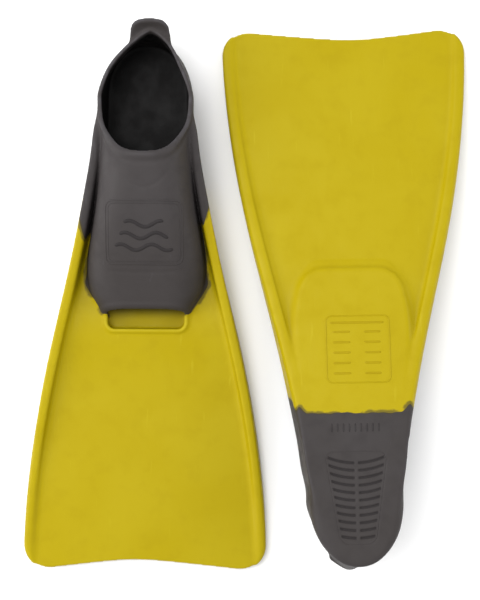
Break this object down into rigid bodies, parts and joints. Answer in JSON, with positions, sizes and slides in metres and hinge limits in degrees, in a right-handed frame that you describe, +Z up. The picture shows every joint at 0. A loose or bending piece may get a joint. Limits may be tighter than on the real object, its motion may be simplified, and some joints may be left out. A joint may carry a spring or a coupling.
{
  "type": "swim fins",
  "caption": "Pair of full-foot rubber swim fins with short two-rail blades, one lying sole down and one sole up.",
  "frame": {"origin": "on the floor, under the middle of the box that holds both fins", "axes": "+Z up; +Y along the fins, towards the heel of the left fin and the blade tip of the right fin; +X from the left fin to the right fin"},
  "size_m": [0.3918, 0.4942, 0.0949],
  "materials": {
    "blade_rubber": "satin, fine moulded grain",
    "pocket_rubber": "matte, soft"
  },
  "bodies": {
    "left_fin": {"left_heel_cup": "pocket_rubber", "left_vamp": "pocket_rubber", "left_collar_rim": "pocket_rubber", "left_slot_lip": "pocket_rubber", "left_heel_sole": "pocket_rubber", "left_toe_sole": "blade_rubber", "left_toe_lip": "blade_rubber", "left_web_root": "blade_rubber", "left_rail_rear_inner": "pocket_rubber", "left_rail_rear_outer": "pocket_rubber", "left_rail_front_inner": "blade_rubber", "left_rail_front_outer": "blade_rubber"},
    "left_blade": {"left_web_blade": "blade_rubber", "left_rail_blade_inner": "blade_rubber", "left_rail_blade_outer": "blade_rubber"},
    "left_tab": {"left_pull_tab": "pocket_rubber"},
    "right_fin": {"right_heel_cup": "pocket_rubber", "right_vamp": "pocket_rubber", "right_collar_rim": "pocket_rubber", "right_slot_lip": "pocket_rubber", "right_heel_sole": "pocket_rubber", "right_toe_sole": "blade_rubber", "right_toe_lip": "blade_rubber", "right_web_root": "blade_rubber", "right_rail_rear_inner": "pocket_rubber", "right_rail_rear_outer": "pocket_rubber", "right_rail_front_inner": "blade_rubber", "right_rail_front_outer": "blade_rubber"},
    "right_blade": {"right_web_blade": "blade_rubber", "right_rail_blade_inner": "blade_rubber", "right_rail_blade_outer": "blade_rubber"},
    "right_tab": {"right_pull_tab": "pocket_rubber"}
  },
  "joints": [
    {"name": "left_blade_flex", "type": "hinge", "parent": "left_fin", "child": "left_blade", "pos_m": [-0.08775, -0.04716, 0.007], "axis": [-1, 0.007, 0], "range_deg": [-30, 30], "stiffness_Nm_per_rad": 6},
    {"name": "left_tab_flex", "type": "hinge", "parent": "left_fin", "child": "left_tab", "pos_m": [-0.08575, 0.23954, 0.057], "axis": [-1, 0.007, 0], "range_deg": [-20, 60], "stiffness_Nm_per_rad": 0.05},
    {"name": "right_blade_flex", "type": "hinge", "parent": "right_fin", "child": "right_blade", "pos_m": [0.09161, 0.05336, 0.03687], "axis": [-0.9999, -0.0166, 0], "range_deg": [-30, 30], "stiffness_Nm_per_rad": 6},
    {"name": "right_tab_flex", "type": "hinge", "parent": "right_fin", "child": "right_tab", "pos_m": [0.09643, -0.23762, 0.03941], "axis": [-0.9999, -0.0166, 0], "range_deg": [-20, 60], "stiffness_Nm_per_rad": 0.05},
    {"name": "right_lift", "type": "slide", "parent": "left_fin", "child": "right_fin", "axis": [0, 0, 1], "range_m": [0, 0.2]}
  ]
}
